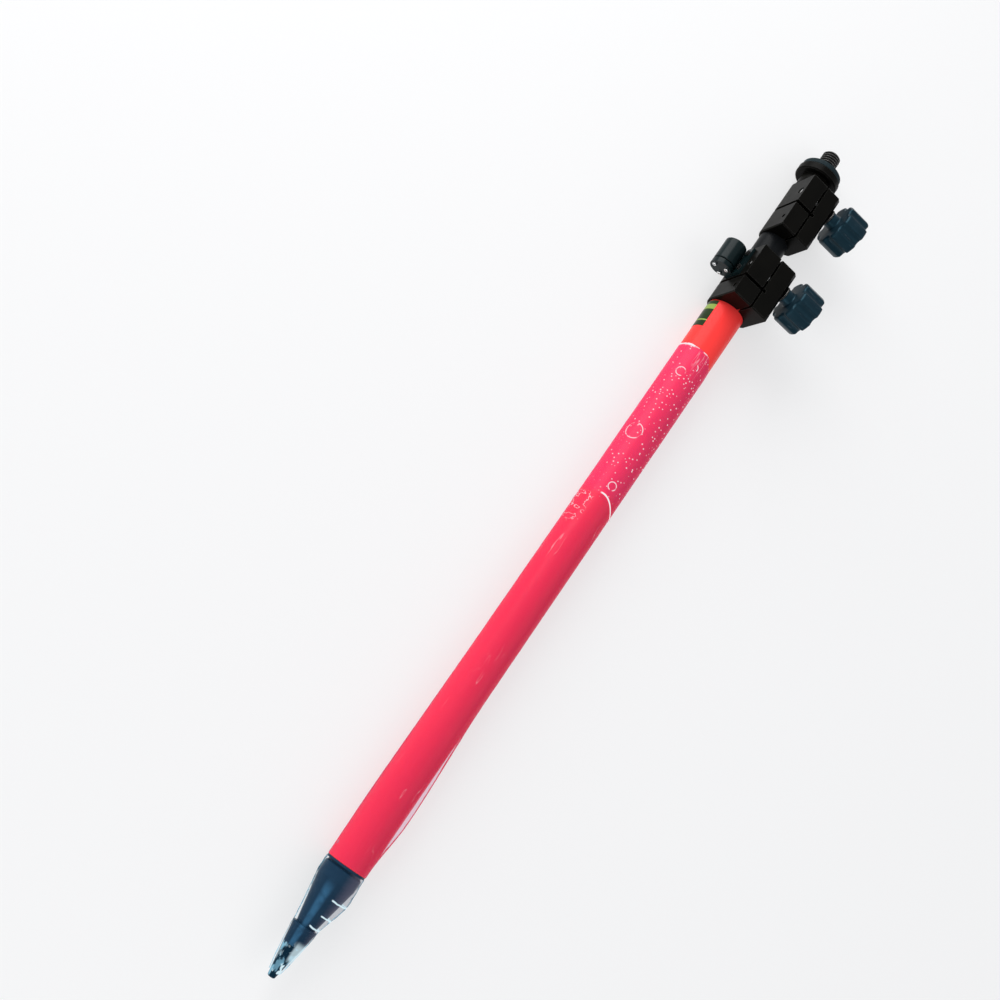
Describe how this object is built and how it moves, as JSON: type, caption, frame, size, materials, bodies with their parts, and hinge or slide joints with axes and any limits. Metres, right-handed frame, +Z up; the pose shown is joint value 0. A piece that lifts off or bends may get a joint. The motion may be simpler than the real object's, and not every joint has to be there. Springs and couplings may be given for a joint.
{
  "type": "surveying prism pole",
  "caption": "Telescoping surveying prism pole with a steel point, knob clamps that lock its tubes, a circular level on the lower clamp and a threaded stud on top.",
  "frame": {"origin": "tip of the steel point, on the pole's axis", "axes": "+Z up the pole to the stud, +X towards the clamp knobs, -X towards the circular level"},
  "size_m": [0.0876, 0.0663, 0.783],
  "materials": {
    "point_steel": "turned, bright",
    "foot_black": "satin black",
    "tube_red": "gloss red powder coat",
    "tube_black": "black anodised",
    "clamp_black": "black anodised, machined",
    "label": "printed film, plain",
    "knob_plastic": "moulded, slight sheen",
    "zinc": "zinc plated",
    "brass": "turned",
    "bush_plastic": "white acetal",
    "wiper_rubber": "matte",
    "black_oxide": "black oxide",
    "level_black": "satin black",
    "level_glass": "clear acrylic",
    "level_fluid": "yellow-green spirit",
    "level_bubble": "air",
    "pad_rubber": "matte, dark grey"
  },
  "bodies": {
    "root": {"steel_point": "point_steel", "point_collar": "foot_black", "foot_cone": "foot_black", "foot_pins": "zinc", "outer_tube": "tube_red", "tube_label": "label", "lower_clamp_body": "clamp_black", "lower_guide_sleeve": "bush_plastic", "lower_pinch_screw": "black_oxide", "level_bracket": "level_black", "bracket_screws": "black_oxide", "level_cup": "level_black", "level_ring": "level_black", "level_glass": "level_glass", "level_fluid": "level_fluid", "level_bubble": "level_bubble", "level_spring": "zinc"},
    "lower_thrust": {"lower_thrust_washer": "black_oxide"},
    "lower_handle": {"lower_clamp_stud": "zinc", "lower_knob": "knob_plastic", "lower_knob_insert": "brass"},
    "middle_swivel": {"lower_wiper_ring": "wiper_rubber"},
    "middle_section": {"middle_tube": "tube_black", "middle_guide": "bush_plastic", "upper_clamp_body": "clamp_black", "upper_guide_sleeve": "bush_plastic", "upper_pinch_screw": "black_oxide"},
    "upper_thrust": {"upper_thrust_washer": "black_oxide"},
    "upper_handle": {"upper_clamp_stud": "zinc", "upper_knob": "knob_plastic", "upper_knob_insert": "brass"},
    "inner_swivel": {"upper_wiper_ring": "wiper_rubber"},
    "inner_section": {"inner_tube": "tube_black", "inner_guide": "bush_plastic", "top_adapter": "clamp_black", "adapter_pin": "black_oxide", "adapter_pad": "pad_rubber", "top_stud": "black_oxide"},
    "level_adjuster_1": {"level_screw_1": "zinc"},
    "level_adjuster_2": {"level_screw_2": "zinc"},
    "level_adjuster_3": {"level_screw_3": "zinc"}
  },
  "joints": [
    {"name": "lower_knob_travel", "type": "slide", "parent": "root", "child": "lower_thrust", "axis": [1, 0, 0], "range_m": [0, 0.002]},
    {"name": "lower_knob_turn", "type": "hinge", "parent": "lower_thrust", "child": "lower_handle", "pos_m": [0.03, -0.0285, 0.6395], "axis": [1, 0, 0], "range_deg": [0, 720]},
    {"name": "middle_turn", "type": "hinge", "parent": "root", "child": "middle_swivel", "pos_m": [0, 0, 0.6555], "axis": [0, 0, 1], "continuous": true},
    {"name": "middle_extend", "type": "slide", "parent": "middle_swivel", "child": "middle_section", "axis": [0, 0, 1], "range_m": [0, 0.49]},
    {"name": "upper_knob_travel", "type": "slide", "parent": "middle_section", "child": "upper_thrust", "axis": [1, 0, 0], "range_m": [0, 0.002]},
    {"name": "upper_knob_turn", "type": "hinge", "parent": "upper_thrust", "child": "upper_handle", "pos_m": [0.03, -0.022, 0.723], "axis": [1, 0, 0], "range_deg": [0, 720]},
    {"name": "inner_turn", "type": "hinge", "parent": "middle_section", "child": "inner_swivel", "pos_m": [0, 0, 0.737], "axis": [0, 0, 1], "continuous": true},
    {"name": "inner_extend", "type": "slide", "parent": "inner_swivel", "child": "inner_section", "axis": [0, 0, 1], "range_m": [0, 0.49]},
    {"name": "level_adjust_1", "type": "hinge", "parent": "root", "child": "level_adjuster_1", "pos_m": [-0.03495, -0.01, 0.628], "axis": [0, 0, 1], "range_deg": [-360, 360]},
    {"name": "level_adjust_2", "type": "hinge", "parent": "root", "child": "level_adjuster_2", "pos_m": [-0.02573, -0.01533, 0.628], "axis": [0, 0, 1], "range_deg": [-360, 360]},
    {"name": "level_adjust_3", "type": "hinge", "parent": "root", "child": "level_adjuster_3", "pos_m": [-0.02573, -0.00467, 0.628], "axis": [0, 0, 1], "range_deg": [-360, 360]}
  ],
  "couplings": [
    {"joint": "lower_knob_travel", "follows": "lower_knob_turn", "m_per_rad": 0.00015915},
    {"joint": "upper_knob_travel", "follows": "upper_knob_turn", "m_per_rad": 0.00015915}
  ]
}
